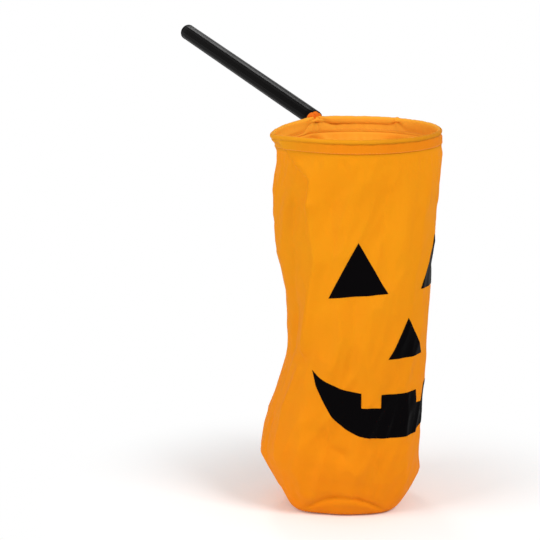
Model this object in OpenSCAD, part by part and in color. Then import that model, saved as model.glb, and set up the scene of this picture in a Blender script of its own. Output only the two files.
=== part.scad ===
// Pumpkin candy net: a cloth bag on a wire hoop, carried by a slanted tube handle.
// Millimetres, +Z up. The origin is the grip, on the handle's axis near the tube's middle.
// The handle points along +Y in plan and the bag hangs down below the hoop.

/* [Hoop] */
// Diameter of the hoop, to the middle of its wire
hoop_d = 148; // [130:1:200]
// Diameter of the spring wire
wire_d = 3; // [2.5:0.1:3.6]
// Room between the wire and the casing sewn round it
wire_clear = 0.1; // [0.05:0.05:0.3]
// Clear space between the two wire prongs in the handle
prong_gap = 2.2; // [1.6:0.1:2.8]
// Bend radius of the wire where the ring turns into a prong
bend_r = 4; // [3:0.5:5]
// Length of each prong along the handle, past its bend
prong_l = 36; // [34:1:60]

/* [Handle] */
// Outer diameter of the handle tube
tube_d = 15.9; // [15:0.1:19]
// Wall of the handle tube
tube_wall = 1.6; // [1.2:0.1:2]
// Length of the handle tube
tube_l = 276.2; // [220:0.1:400]
// Outer diameter of the throat, the tube's end at the hoop, which is drawn in a little
throat_d = 15.6; // [14.6:0.1:15.8]
// Length of the throat
throat_l = 14.2; // [12:0.1:40]
// Slope of the handle above the hoop's plane, in degrees
handle_tilt = 11.6; // [4:0.1:20]
// Distance from the hoop's wire to the tube's mouth
mouth_set = 2.8; // [2.7:0.1:6]
// Distance from the hoop's wire to the grip, the part's origin
grip_set = 142.5; // [100:0.5:180]
// Length of the plug that holds the prongs
plug_l = 24; // [15:1:26]
// Distance from the tube's mouth to the plug
plug_set = 8.2; // [6:0.1:12]
// Thickness of the end cap's head
cap_t = 2.5; // [2:0.1:5]
// Rounding of the end cap's edge
cap_round = 1.5; // [0.5:0.1:1.8]
// Length of the end cap's spigot in the tube
spigot_l = 12; // [6:1:25]
// Gap at the radius between the tube's bore and what is pushed into it
push_fit = 0.05; // [0.02:0.01:0.15]

/* [Bag] */
// Thickness at which the cloth is drawn
cloth_t = 0.8; // [0.6:0.1:1]
// Depth of the bag below the hoop's plane
bag_h = 342; // [320:1:450]
// Room between the tube's underside and the top edge of the panels
tube_clear = 1; // [0.6:0.1:3]
// How far the casing laps over the panels
hem_lap = 3.4; // [2.5:0.1:10]
// Room at each side of the panels inside the hem
hem_clear = 0.15; // [0.15:0.05:0.4]
// Drop from the hoop to the bag's shoulder
shoulder_drop = 60; // [40:1:90]
// Width of the bag at the shoulder
shoulder_w = 152; // [135:1:180]
// Depth of the bag at the shoulder, square to its width
shoulder_depth = 142; // [130:1:180]
// Drop from the hoop to the bag's waist
waist_drop = 180; // [150:1:200]
// Width of the bag at the waist
waist_w = 131; // [115:1:170]
// Depth of the bag at the waist
waist_depth = 161; // [130:1:175]
// Sideways lean of the bag at the waist
waist_lean = 3; // [-10:0.5:10]
// Height of the tapered bottom part
taper_h = 45; // [30:1:70]
// Width of the bag where the bottom starts to taper
belly_w = 150; // [125:1:180]
// Depth of the bag where the bottom starts to taper
belly_depth = 143; // [125:1:180]
// Sideways lean of the bag where the bottom starts to taper
belly_lean = -12; // [-20:0.5:20]
// Diameter of the bag's base
base_d = 100; // [80:1:120]
// Sideways lean of the base
base_lean = -6.5; // [-15:0.5:15]
// Height of the base panel's turned-up edge
base_rim_h = 5; // [3:0.5:10]
// Gap between the base panel and the wall round it
base_clear = 0.35; // [0.3:0.05:1]
// How strongly the bag bends along its four packing folds, as a share of its radius
fold_swell = 0.05; // [0:0.005:0.06]
// Length over which the folds fade out at the hem and at the base
fold_run = 70; // [50:1:100]
// Direction of the first fold round the bag, in degrees
fold_turn = 17; // [0:1:89]
// Direction of the bag's width, in degrees
width_turn = -30; // [-60:1:60]
// Diameter of the sewing thread as drawn
thread_d = 0.6; // [0.4:0.1:0.8]

/* [Face] */
// Direction the face looks in, in degrees from the side opposite the handle
face_turn = 9; // [-30:1:30]
// Thickness of the black film that stands above the cloth
film_t = 0.3; // [0.2:0.05:0.6]
// Width of each eye
eye_w = 52; // [40:1:55]
// Height of each eye
eye_h = 47; // [30:1:60]
// Gap between the two eyes
eye_gap = 38; // [25:1:50]
// Drop from the hoop to the lower edge of the eyes
eye_drop = 133; // [110:1:145]
// Width of the nose
nose_w = 41; // [25:1:50]
// Height of the nose
nose_h = 35; // [20:1:42]
// Drop from the hoop to the lower edge of the nose
nose_drop = 190; // [180:1:195]
// Width of the mouth from tip to tip
mouth_w = 169; // [130:1:180]
// Drop from the hoop to the mouth's two tips
mouth_drop = 201; // [198:1:220]
// Sag of the upper lip below the tips
upper_lip = 21.5; // [12:0.5:30]
// Sag of the lower lip below the tips
lower_lip = 63; // [45:1:70]
// Width of each tooth
tooth_w = 18.5; // [10:0.5:24]
// Length of each tooth
tooth_h = 13; // [6:0.5:18]
// Gap between the two teeth
tooth_gap = 36; // [24:1:50]

/* [Hidden] */
$fn = 96;

orange = "#f4930d";
deep_orange = "#f0780e";
film_black = "#0c0a0c";
tube_black = "#161414";
steel_grey = "#a4a8ac";
plug_grey = "#4a4a4c";

hoop_r = hoop_d / 2;
bore_d = tube_d - 2 * tube_wall;
push_d = bore_d - 2 * push_fit;
roll_d = wire_d + 2 * (wire_clear + cloth_t);
prong_off = (wire_d + prong_gap) / 2;
prong_hole_d = wire_d + 2 * push_fit;
wire_sleeve_d = wire_d + 2 * wire_clear;
plug_start = mouth_set + plug_set;
skin_clear = 0.4;
reach_past = 1;

// The right half of the wire: where its ring ends, which way it runs there, and where its prong starts.
ring_end_turn = asin((prong_off + bend_r) / hoop_r);
ring_end = [hoop_r * sin(ring_end_turn), hoop_r * cos(ring_end_turn), 0];
ring_dir = [-cos(ring_end_turn), sin(ring_end_turn), 0];
prong_dir = [0, cos(handle_tilt), sin(handle_tilt)];
bend_angle = acos(ring_dir * prong_dir);
bend_in = (prong_dir - cos(bend_angle) * ring_dir) / sin(bend_angle);
bend_axis = cross(ring_dir, bend_in);
bend_middle = ring_end + bend_r * bend_in;
prong_start = ring_end + bend_r * (sin(bend_angle) * ring_dir + (1 - cos(bend_angle)) * bend_in);

grip_point = [0, hoop_r + grip_set * cos(handle_tilt), grip_set * sin(handle_tilt)];

panel_top = tube_d / 2 / cos(handle_tilt) + tube_clear;
hem_h = panel_top + hem_lap;
hem_half_gap = cloth_t / 2 + hem_clear;
hem_r = hoop_r + hem_half_gap + cloth_t;
belly_drop = bag_h - taper_h;
thread_sink = 0.15;

bar_sides = 10;
bend_steps = 6;
ring_steps = 90;
panel_steps = 30;
wall_steps = 22;
taper_steps = 4;
film_rows = 6;
film_sink = 0.25;
film_edge = 0.4;
lip_power = 3.1;

// The tube's own frame: its axis along local +Z, with zero at the hoop's wire.
module along_handle() {
    translate([0, hoop_r, 0])
        rotate([handle_tilt - 90, 0, 0])
            children();
}

// The two prongs' places, side by side across the handle's axis.
module along_prongs() {
    for (side = [0, 1])
        mirror([side, 0, 0])
            translate(prong_start)
                rotate([handle_tilt - 90, 0, 0])
                    children();
}

// Moves what is drawn round the hoop's middle so that the grip is the origin.
module from_grip() {
    translate(-grip_point)
        children();
}

// The room that the wire takes: the open ring, its two bends and its two prongs.
module wire_room(d) {
    rotate([0, 0, 90 + ring_end_turn])
        rotate_extrude(angle = 360 - 2 * ring_end_turn)
            translate([hoop_r, 0])
                circle(d = d);
    for (side = [0, 1])
        mirror([side, 0, 0])
            multmatrix([
                for (row = [0 : 2]) [-bend_in[row], ring_dir[row], bend_axis[row], bend_middle[row]],
                [0, 0, 0, 1]
            ])
                rotate_extrude(angle = bend_angle)
                    translate([bend_r, 0])
                        circle(d = d);
    along_prongs()
        cylinder(d = d, h = prong_l);
}

// The wire's middle line on its right side, from the prong's tip round the bend to the ring's end.
right_bend = [
    prong_start + prong_l * prong_dir,
    for (step = [bend_steps : -1 : 0])
        let (angle = bend_angle * step / bend_steps)
        ring_end + bend_r * (sin(angle) * ring_dir + (1 - cos(angle)) * bend_in)
];

// The whole middle line, as it is bent from one straight length.
wire_line = [
    each right_bend,
    for (step = [1 : ring_steps - 1])
        let (angle = ring_end_turn + (360 - 2 * ring_end_turn) * step / ring_steps)
        hoop_r * [sin(angle), cos(angle), 0],
    for (index = [len(right_bend) - 1 : -1 : 0])
        [-right_bend[index][0], right_bend[index][1], right_bend[index][2]]
];

// A round bar along a line of points that never runs straight up.
module bar(line, d) {
    count = len(line);
    function unit(v) = v / norm(v);
    function heading(index) = unit(line[min(index + 1, count - 1)] - line[max(index - 1, 0)]);
    function side_of(index) = unit(cross(heading(index), [0, 0, 1]));
    function up_of(index) = cross(side_of(index), heading(index));
    points = [
        for (index = [0 : count - 1], corner = [0 : bar_sides - 1])
            let (angle = 360 * corner / bar_sides)
            line[index] + d / 2 * (cos(angle) * side_of(index) + sin(angle) * up_of(index))
    ];
    function at(index, corner) = index * bar_sides + corner % bar_sides;
    walls = [
        for (index = [0 : count - 2], corner = [0 : bar_sides - 1])
            each [
                [at(index, corner), at(index + 1, corner), at(index + 1, corner + 1)],
                [at(index, corner), at(index + 1, corner + 1), at(index, corner + 1)]
            ]
    ];
    ends = [
        for (corner = [1 : bar_sides - 2])
            each [
                [at(0, 0), at(0, corner), at(0, corner + 1)],
                [at(count - 1, 0), at(count - 1, corner + 1), at(count - 1, corner)]
            ]
    ];
    polyhedron(points, concat(walls, ends));
}

function eased(low, high, share) = low + (high - low) * (1 - cos(180 * share)) / 2;

// A measure of the bag at a drop below the hoop, from its value at the hem and at four places.
function along_bag(drop, hem, shoulder, waist, belly, base) =
    drop <= hem_h ? hem
    : drop < shoulder_drop ? eased(hem, shoulder, (drop - hem_h) / (shoulder_drop - hem_h))
    : drop < waist_drop ? eased(shoulder, waist, (drop - shoulder_drop) / (waist_drop - shoulder_drop))
    : drop < belly_drop ? eased(waist, belly, (drop - waist_drop) / (belly_drop - waist_drop))
    : belly + (base - belly) * (drop - belly_drop) / taper_h;

function fold_share(drop) =
    fold_swell * max(0, min(1, (drop - hem_h) / fold_run, (bag_h - drop) / fold_run));

// A point of the cloth's outer face, in a direction turned from -Y towards +X, moved out by a distance.
function bag_point(turn, drop, out) =
    let (
        hem = hoop_d + cloth_t,
        half_w = along_bag(drop, hem, shoulder_w, waist_w, belly_w, base_d) / 2,
        half_d = along_bag(drop, hem, shoulder_depth, waist_depth, belly_depth, base_d) / 2,
        lean = along_bag(drop, 0, 0, waist_lean, belly_lean, base_lean),
        swell = 1 + fold_share(drop) * cos(4 * (turn - fold_turn)),
        angle = turn - width_turn,
        across = lean + (half_w * swell + out) * sin(angle),
        depth = -(half_d * swell + out) * cos(angle)
    )
    [
        across * cos(width_turn) - depth * sin(width_turn),
        across * sin(width_turn) + depth * cos(width_turn),
        -drop
    ];

// A thin closed solid between two grids of points, rows going down and columns going round.
module sheet(outer, inner) {
    rows = len(outer);
    cols = len(outer[0]);
    function at(row, col) = row * cols + col;
    function under(row, col) = (rows + row) * cols + col;
    points = [for (grid = [outer, inner]) for (row = grid) for (point = row) point];
    quads = [
        for (row = [0 : rows - 2], col = [0 : cols - 2])
            [at(row, col), at(row, col + 1), at(row + 1, col + 1), at(row + 1, col)],
        for (row = [0 : rows - 2], col = [0 : cols - 2])
            [under(row, col), under(row + 1, col), under(row + 1, col + 1), under(row, col + 1)],
        for (col = [0 : cols - 2])
            [at(0, col), under(0, col), under(0, col + 1), at(0, col + 1)],
        for (col = [0 : cols - 2])
            [at(rows - 1, col), at(rows - 1, col + 1), under(rows - 1, col + 1), under(rows - 1, col)],
        for (row = [0 : rows - 2])
            [at(row, 0), at(row + 1, 0), under(row + 1, 0), under(row, 0)],
        for (row = [0 : rows - 2])
            [at(row, cols - 1), under(row, cols - 1), under(row + 1, cols - 1), at(row + 1, cols - 1)]
    ];
    triangles = [for (quad = quads) each [[quad[0], quad[1], quad[2]], [quad[0], quad[2], quad[3]]]];
    polyhedron(points, triangles);
}

// The drops at which the wall has a row of points: hem, wall and tapered bottom.
wall_drops = [
    panel_top,
    for (step = [0 : wall_steps]) hem_h + step * (belly_drop - hem_h) / wall_steps,
    for (step = [1 : taper_steps]) belly_drop + step * taper_h / taper_steps
];

// The rows of a side seam's thread, which starts just below the hem.
seam_drops = [hem_h + thread_d, for (drop = wall_drops) if (drop > hem_h + thread_d) drop];

function wall_grid(drops, from, to, steps, out) =
    [for (drop = drops) [for (step = [0 : steps]) bag_point(from + step * (to - from) / steps, drop, out)]];

// One half of the bag's wall, from a side seam to the other.
module wall_panel(middle) {
    sheet(
        wall_grid(wall_drops, middle - 90, middle + 90, panel_steps, 0),
        wall_grid(wall_drops, middle - 90, middle + 90, panel_steps, -cloth_t)
    );
}

// A row of sewing thread down a side seam.
module seam_thread(turn) {
    half_turn = thread_d / hoop_d * 180 / PI;
    sheet(
        wall_grid(seam_drops, turn - half_turn, turn + half_turn, 1, thread_d - thread_sink),
        wall_grid(seam_drops, turn - half_turn, turn + half_turn, 1, -thread_sink)
    );
}

// A piece of film on the front panel: columns of [across, upper drop, lower drop], sizes on the flat cloth.
module film(columns) {
    function grid(out) = [
        for (row = [0 : film_rows])
            [
                for (column = columns)
                    bag_point(
                        face_turn + column[0] / hoop_r * 180 / PI,
                        column[1] + (column[2] - column[1]) * row / film_rows,
                        out
                    )
            ]
    ];
    sheet(grid(film_t), grid(-film_sink));
}

// A triangle of film with its point up, its sides straight.
module film_triangle(middle, w, h, drop) {
    half_steps = 7;
    film([
        for (step = [-half_steps : half_steps])
            let (share = step / half_steps)
            [middle + share * w / 2, drop - h * (1 - abs(share)) - film_edge, drop]
    ]);
}

// How much of a lip's sag is reached at a distance from the mouth's middle.
function lip_share(across) = 1 - pow(abs(across) / (mouth_w / 2), lip_power);
function upper_lip_drop(across) = mouth_drop + upper_lip * lip_share(across);
function lower_lip_drop(across) = mouth_drop + film_edge + lower_lip * lip_share(across);

module handle_tube() {
    color(tube_black)
        from_grip()
            along_handle()
                difference() {
                    union() {
                        translate([0, 0, mouth_set])
                            cylinder(d = throat_d, h = throat_l);
                        translate([0, 0, mouth_set + throat_l])
                            cylinder(d = tube_d, h = tube_l - throat_l);
                    }
                    translate([0, 0, mouth_set - reach_past])
                        cylinder(d = bore_d, h = tube_l + 2 * reach_past);
                }
}

module handle_end_cap() {
    color(tube_black)
        from_grip()
            along_handle()
                translate([0, 0, mouth_set + tube_l]) {
                    rotate_extrude()
                        difference() {
                            square([tube_d / 2, cap_t]);
                            translate([tube_d / 2 - cap_round, cap_t - cap_round])
                                difference() {
                                    square(cap_round + reach_past);
                                    circle(r = cap_round);
                                }
                        }
                    translate([0, 0, -spigot_l])
                        cylinder(d = push_d, h = spigot_l + cap_t / 2);
                }
}

module wire_plug() {
    color(plug_grey)
        from_grip()
            difference() {
                along_handle()
                    translate([0, 0, plug_start])
                        cylinder(d = push_d, h = plug_l);
                along_prongs()
                    cylinder(d = prong_hole_d, h = plug_start + plug_l);
            }
}

module hoop_wire() {
    color(steel_grey)
        from_grip()
            bar(wire_line, wire_d);
}

// The casing: a roll of cloth round the wire, and two plies that hang from it over the panels' top edge.
module hem_casing() {
    ply_top = roll_d / 2 - cloth_t / 2;
    color(orange)
        from_grip() {
            rotate([0, 0, 90 + ring_end_turn])
                rotate_extrude(angle = 360 - 2 * ring_end_turn)
                    translate([hoop_r, 0])
                        difference() {
                            circle(d = roll_d);
                            circle(d = wire_sleeve_d);
                        }
            difference() {
                rotate_extrude()
                    for (ply = [hoop_r + hem_half_gap, hoop_r - hem_half_gap - cloth_t])
                        translate([ply, -hem_h])
                            square([cloth_t, hem_h - ply_top]);
                along_handle()
                    translate([0, 0, -tube_d])
                        cylinder(d = bore_d, h = 2 * tube_d);
            }
        }
}

// The casing's two ends, drawn together and tucked in pleats into the tube's mouth round the wire.
module casing_gather() {
    gather_r = bore_d / 2 - skin_clear;
    gather_end = plug_start - skin_clear;
    pleats = 3;
    pleat_in = 0.88;
    pleat_l = gather_end / pleats;
    profile = [
        [0, -roll_d / 2],
        [gather_r / 2, -roll_d / 2],
        [gather_r * pleat_in, -roll_d / 4],
        for (pleat = [0 : pleats - 1])
            each [[gather_r, pleat * pleat_l], [gather_r * pleat_in, (pleat + 0.5) * pleat_l]],
        [gather_r, gather_end],
        [0, gather_end]
    ];
    color(deep_orange)
        from_grip()
            difference() {
                along_handle()
                    rotate_extrude()
                        polygon(profile);
                wire_room(wire_sleeve_d);
            }
}

module front_panel() {
    color(orange)
        from_grip()
            wall_panel(face_turn);
}

module back_panel() {
    color(orange)
        from_grip()
            wall_panel(face_turn + 180);
}

// The round base, with its edge turned up inside the wall.
module base_panel() {
    base_r = base_d / 2 - cloth_t - base_clear;
    color(orange)
        from_grip()
            translate([base_lean * cos(width_turn), base_lean * sin(width_turn), -bag_h])
                rotate_extrude() {
                    square([base_r, cloth_t]);
                    translate([base_r - cloth_t, 0])
                        square([cloth_t, base_rim_h]);
                }
}

module left_eye() {
    color(film_black)
        from_grip()
            film_triangle(-(eye_gap + eye_w) / 2, eye_w, eye_h, eye_drop);
}

module right_eye() {
    color(film_black)
        from_grip()
            film_triangle((eye_gap + eye_w) / 2, eye_w, eye_h, eye_drop);
}

module nose() {
    color(film_black)
        from_grip()
            film_triangle(0, nose_w, nose_h, nose_drop);
}

// The grin: two curved lips, with two square teeth left open in the upper one.
module mouth() {
    lip_steps = 36;
    tooth_in = tooth_gap / 2;
    tooth_out = tooth_in + tooth_w;
    step_w = 0.1;
    plain = [
        for (step = [0 : lip_steps])
            let (across = (step / lip_steps - 0.5) * mouth_w)
            if (abs(across) < tooth_in - step_w || abs(across) > tooth_out + step_w) [across, 0]
    ];
    teeth = [
        for (side = [-1, 1])
            each [
                [side * (tooth_in - step_w), 0],
                [side * tooth_in, tooth_h],
                [side * (tooth_in + tooth_out) / 2, tooth_h],
                [side * tooth_out, tooth_h],
                [side * (tooth_out + step_w), 0]
            ]
    ];
    function sorted(list) =
        len(list) < 2 ? list
        : let (pivot = list[0][0])
          concat(
              sorted([for (item = list) if (item[0] < pivot) item]),
              [list[0]],
              sorted([for (item = list) if (item[0] > pivot) item])
          );
    color(film_black)
        from_grip()
            film([
                for (edge = sorted(concat(plain, teeth)))
                    [edge[0], upper_lip_drop(edge[0]) + edge[1], lower_lip_drop(edge[0])]
            ]);
}

// Two rings of thread through the hem, one on each side of it.
module hem_stitching() {
    ring_off = hem_r - hoop_r + thread_d / 2 - thread_sink;
    color(deep_orange)
        from_grip()
            for (ring_r = [hoop_r + ring_off, hoop_r - ring_off])
                translate([0, 0, -panel_top - hem_lap / 2])
                    rotate_extrude()
                        translate([ring_r, 0])
                            circle(d = thread_d);
}

module left_seam_stitching() {
    color(deep_orange)
        from_grip()
            seam_thread(face_turn - 90);
}

module right_seam_stitching() {
    color(deep_orange)
        from_grip()
            seam_thread(face_turn + 90);
}

// The thread that holds the base's turned-up edge, on the inside of it.
module base_stitching() {
    base_r = base_d / 2 - cloth_t - base_clear;
    color(deep_orange)
        from_grip()
            translate([base_lean * cos(width_turn), base_lean * sin(width_turn), base_rim_h / 2 - bag_h])
                rotate_extrude()
                    translate([base_r - cloth_t - thread_d / 2 + thread_sink, 0])
                        circle(d = thread_d);
}

handle_tube();
handle_end_cap();
wire_plug();
hoop_wire();
hem_casing();
casing_gather();
front_panel();
back_panel();
base_panel();
left_eye();
right_eye();
nose();
mouth();
hem_stitching();
left_seam_stitching();
right_seam_stitching();
base_stitching();
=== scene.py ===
from math import cos, pi, radians, sin

import bmesh
import bpy
import numpy as np
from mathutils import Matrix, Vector, noise


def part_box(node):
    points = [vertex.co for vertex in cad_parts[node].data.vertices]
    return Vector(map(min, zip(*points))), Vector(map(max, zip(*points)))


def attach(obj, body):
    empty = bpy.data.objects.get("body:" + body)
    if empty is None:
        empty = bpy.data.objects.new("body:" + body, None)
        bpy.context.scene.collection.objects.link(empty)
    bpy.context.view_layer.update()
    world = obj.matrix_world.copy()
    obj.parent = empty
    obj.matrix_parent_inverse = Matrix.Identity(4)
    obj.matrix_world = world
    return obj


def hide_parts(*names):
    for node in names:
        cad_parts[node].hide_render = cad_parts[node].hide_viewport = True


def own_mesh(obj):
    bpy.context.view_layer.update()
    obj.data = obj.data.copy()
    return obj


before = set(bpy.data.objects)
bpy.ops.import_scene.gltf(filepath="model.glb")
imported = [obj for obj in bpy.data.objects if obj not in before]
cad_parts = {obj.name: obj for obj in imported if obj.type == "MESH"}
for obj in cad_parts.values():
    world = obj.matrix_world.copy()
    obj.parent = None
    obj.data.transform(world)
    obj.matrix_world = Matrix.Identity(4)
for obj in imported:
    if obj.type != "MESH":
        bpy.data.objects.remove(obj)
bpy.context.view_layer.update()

# The view: a long lens a little above the hoop, looking down at the bag from its front left,
# so that the handle runs away to the upper left. The hoop's place comes from its casing.
MM = 0.001
roll_r = 2.4 * MM
casing_low, casing_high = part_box("hem_casing")
hoop_r = (casing_high.x - casing_low.x) / 2 - roll_r
hoop_mid = Vector((
    (casing_low.x + casing_high.x) / 2,
    casing_low.y + roll_r + hoop_r,
    casing_high.z - roll_r,
))
photo_px = 540
focal_px = 2000
sensor_mm = 36
view_turn = radians(29.9)
view_back = 1756 * MM
view_up = 256 * MM
aim_aside = radians(2.48)
aim_down = radians(12.31)
lens = bpy.data.cameras.new("photo_lens")
lens.sensor_width = sensor_mm
lens.lens = focal_px * sensor_mm / photo_px
lens.clip_end = 60
camera = bpy.data.objects.new("photo_camera", lens)
camera.location = hoop_mid + Vector((-view_back * sin(view_turn), -view_back * cos(view_turn), view_up))
camera.rotation_euler = (pi / 2 - aim_down, 0, aim_aside - view_turn)
bpy.context.collection.objects.link(camera)
scene = bpy.context.scene
scene.camera = camera
scene.view_settings.view_transform = "Standard"


# The floor: a sheet of plain white studio paper, a metre wide, that the bag's base just touches.
# It keeps the bag's soft shadow near the base, and further out it is burnt out to white.
def linear(code):
    """An sRGB hex colour as a linear colour with full alpha."""
    shares = [int(code[at:at + 2], 16) / 255 for at in (1, 3, 5)]
    return [s / 12.92 if s <= 0.04045 else ((s + 0.055) / 1.055) ** 2.4 for s in shares] + [1]


def add_node(tree, kind, inputs=None, **settings):
    """Adds a node, sets its settings, and links or sets each named input."""
    made = tree.nodes.new(kind)
    for name, value in settings.items():
        setattr(made, name, value)
    for name, value in (inputs or {}).items():
        if isinstance(value, bpy.types.NodeSocket):
            tree.links.new(value, made.inputs[name])
        else:
            made.inputs[name].default_value = value
    return made


def empty_material(name):
    """A new material with only its output node: the material, its tree and that node's surface socket."""
    material = bpy.data.materials.new(name)
    material.use_nodes = True
    tree = material.node_tree
    tree.nodes.clear()
    return material, tree, tree.nodes.new("ShaderNodeOutputMaterial").inputs["Surface"]


def seen_as_background(tree):
    """A socket that is 1 where the eye sees the background: straight on, in a gloss or through glass."""
    ray = add_node(tree, "ShaderNodeLightPath").outputs
    seen = ray["Is Camera Ray"]
    for way in ("Is Glossy Ray", "Is Transmission Ray"):
        seen = add_node(tree, "ShaderNodeMath", {0: seen, 1: ray[way]}, operation="MAXIMUM").outputs[0]
    return seen


def new_piece(name, points, faces, material, flat=None):
    """A smooth mesh object at the origin, from points in metres. flat gives each point's place on the flat
    cloth."""
    mesh = bpy.data.meshes.new(name)
    mesh.from_pydata([tuple(p) for p in points], [], faces)
    if flat is not None:
        layer = mesh.uv_layers.new(name="cloth")
        corners = np.empty(len(mesh.loops), int)
        mesh.loops.foreach_get("vertex_index", corners)
        layer.data.foreach_set("uv", np.asarray(flat, float)[corners].ravel())
    skin = bmesh.new()
    skin.from_mesh(mesh)
    bmesh.ops.remove_doubles(skin, verts=skin.verts, dist=0.001 * MM)
    bmesh.ops.recalc_face_normals(skin, faces=skin.faces)
    skin.to_mesh(mesh)
    skin.free()
    mesh.shade_smooth()
    mesh.materials.append(material)
    piece = bpy.data.objects.new(name, mesh)
    bpy.context.collection.objects.link(piece)
    return piece


floor_half = 0.5
floor_gap = 0.2 * MM
white_from = 0.10
white_at = 0.30
base_low, base_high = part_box("base_panel")
floor_z = base_low.z - floor_gap
base_spot = ((base_low.x + base_high.x) / 2, (base_low.y + base_high.y) / 2, floor_z)

# Studio paper: matt and nearly white, and plain white where the light burns it out.
paper, tree, surface = empty_material("studio_paper")
coords = add_node(tree, "ShaderNodeTexCoord")
away = add_node(tree, "ShaderNodeVectorMath", {
    0: coords.outputs["Object"], 1: base_spot,
}, operation="DISTANCE")
burnt = add_node(tree, "ShaderNodeMapRange", {
    "Value": away.outputs["Value"], "From Min": white_from, "From Max": white_at,
}, interpolation_type="SMOOTHSTEP")
burnt_seen = add_node(tree, "ShaderNodeMath", {
    0: burnt.outputs["Result"], 1: seen_as_background(tree),
}, operation="MULTIPLY")
dull = add_node(tree, "ShaderNodeBsdfDiffuse", {"Color": linear("#fbfbfb")})
white = add_node(tree, "ShaderNodeEmission", {"Color": linear("#ffffff"), "Strength": 1.0})
both = add_node(tree, "ShaderNodeMixShader", {
    "Fac": burnt_seen.outputs["Value"], 1: dull.outputs["BSDF"], 2: white.outputs["Emission"],
})
tree.links.new(both.outputs["Shader"], surface)
floor_corners = ((-1, -1), (1, -1), (1, 1), (-1, 1))
points = [(hoop_mid.x + x * floor_half, hoop_mid.y + y * floor_half, floor_z) for x, y in floor_corners]
floor = new_piece("floor", points, [(0, 1, 2, 3)], paper)

# The light: a white tent all round, and three soft boxes. The key stands above, to the right of the
# camera, the fill is lower at the left, and a small one far behind draws the streaks on the tube.
tent_light = 0.48
aim_drop = 0.17
lamp_aim = hoop_mid - Vector((0, 0, aim_drop))
world = bpy.data.worlds.new("white_tent")
world.use_nodes = True
scene.world = world
tree = world.node_tree
tree.nodes.clear()
plain = add_node(tree, "ShaderNodeBackground", {"Color": linear("#ffffff"), "Strength": 1.0})
tent = add_node(tree, "ShaderNodeBackground", {"Color": linear("#ffffff"), "Strength": tent_light})
both = add_node(tree, "ShaderNodeMixShader", {
    "Fac": seen_as_background(tree), 1: tent.outputs["Background"], 2: plain.outputs["Background"],
})
add_node(tree, "ShaderNodeOutputWorld", {"Surface": both.outputs["Shader"]})


def soft_box(name, turn, height, away, size, power):
    """A square lamp, turned from the camera's side to the left, that looks at the middle of the bag."""
    lamp = bpy.data.lights.new(name, "AREA")
    lamp.shape = "SQUARE"
    lamp.size = size
    lamp.energy = power
    holder = bpy.data.objects.new(name, lamp)
    direction = view_turn + turn
    holder.location = lamp_aim + Vector((-away * sin(direction), -away * cos(direction), height))
    holder.rotation_euler = (lamp_aim - holder.location).to_track_quat("-Z", "Y").to_euler()
    bpy.context.collection.objects.link(holder)


soft_box("key_box", turn=radians(-44), height=1.1, away=1.5, size=0.7, power=21)
soft_box("fill_box", turn=radians(56), height=0.6, away=1.6, size=1.0, power=16.5)
soft_box("back_box", turn=radians(165), height=1.33, away=1.6, size=0.4, power=5)

# The handle tube: extruded black plastic, 15.9 mm across. Its mouth stands just behind the hoop,
# drawn in a little, and the hoop's two wire prongs go into it.
handle_tilt = radians(11.6)
tube_r = 15.9 / 2 * MM
throat_r = 15.6 / 2 * MM
tube_wall = 1.6 * MM
mouth_set = 1.9 * MM
taper_end = 60 * MM
tube_end = 279 * MM
edge_round = 0.35 * MM
round_from = radians(50)
hard_from = radians(40)
tube_rings, tube_cols = 30, 240


def on_handle(x, y, along):
    """A point by the handle's own axis: x to the right, y down across it, along it from the hoop's wire."""
    return hoop_mid + Vector((
        x,
        hoop_r + y * sin(handle_tilt) + along * cos(handle_tilt),
        along * sin(handle_tilt) - y * cos(handle_tilt),
    ))


def grid_faces(rows, cols, closed=False):
    """The squares of a grid of points that is stored row by row, closed round if asked."""
    pairs = [(col, (col + 1) % cols) for col in range(cols if closed else cols - 1)]
    return [
        (row * cols + left, row * cols + right, (row + 1) * cols + right, (row + 1) * cols + left)
        for row in range(rows - 1) for left, right in pairs
    ]


def settle(piece, sharp=None):
    """Turns the modifiers' result into the piece's plain mesh, with edges over the sharp angle left hard."""
    result = bpy.data.meshes.new_from_object(piece.evaluated_get(bpy.context.evaluated_depsgraph_get()))
    piece.modifiers.clear()
    piece.data = result
    result.shade_smooth()
    if sharp is not None:
        result.set_sharp_from_angle(angle=sharp)


# Extruded black plastic: nearly black and satin, a little smeared from handling.
smear_size = 22 * MM
black_plastic, tree, surface = empty_material("black_extruded_plastic")
coords = add_node(tree, "ShaderNodeTexCoord")
smears = add_node(tree, "ShaderNodeTexNoise", {
    "Vector": coords.outputs["Object"], "Scale": 1 / smear_size, "Detail": 4.0,
})
rough = add_node(tree, "ShaderNodeMapRange", {
    "Value": smears.outputs["Fac"], "From Min": 0.3, "From Max": 0.7, "To Min": 0.27, "To Max": 0.33,
})
shader = add_node(tree, "ShaderNodeBsdfPrincipled", {
    "Base Color": linear("#030202"), "IOR": 1.5, "Specular IOR Level": 0.018,
    "Roughness": rough.outputs["Result"],
})
tree.links.new(shader.outputs["BSDF"], surface)

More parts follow.
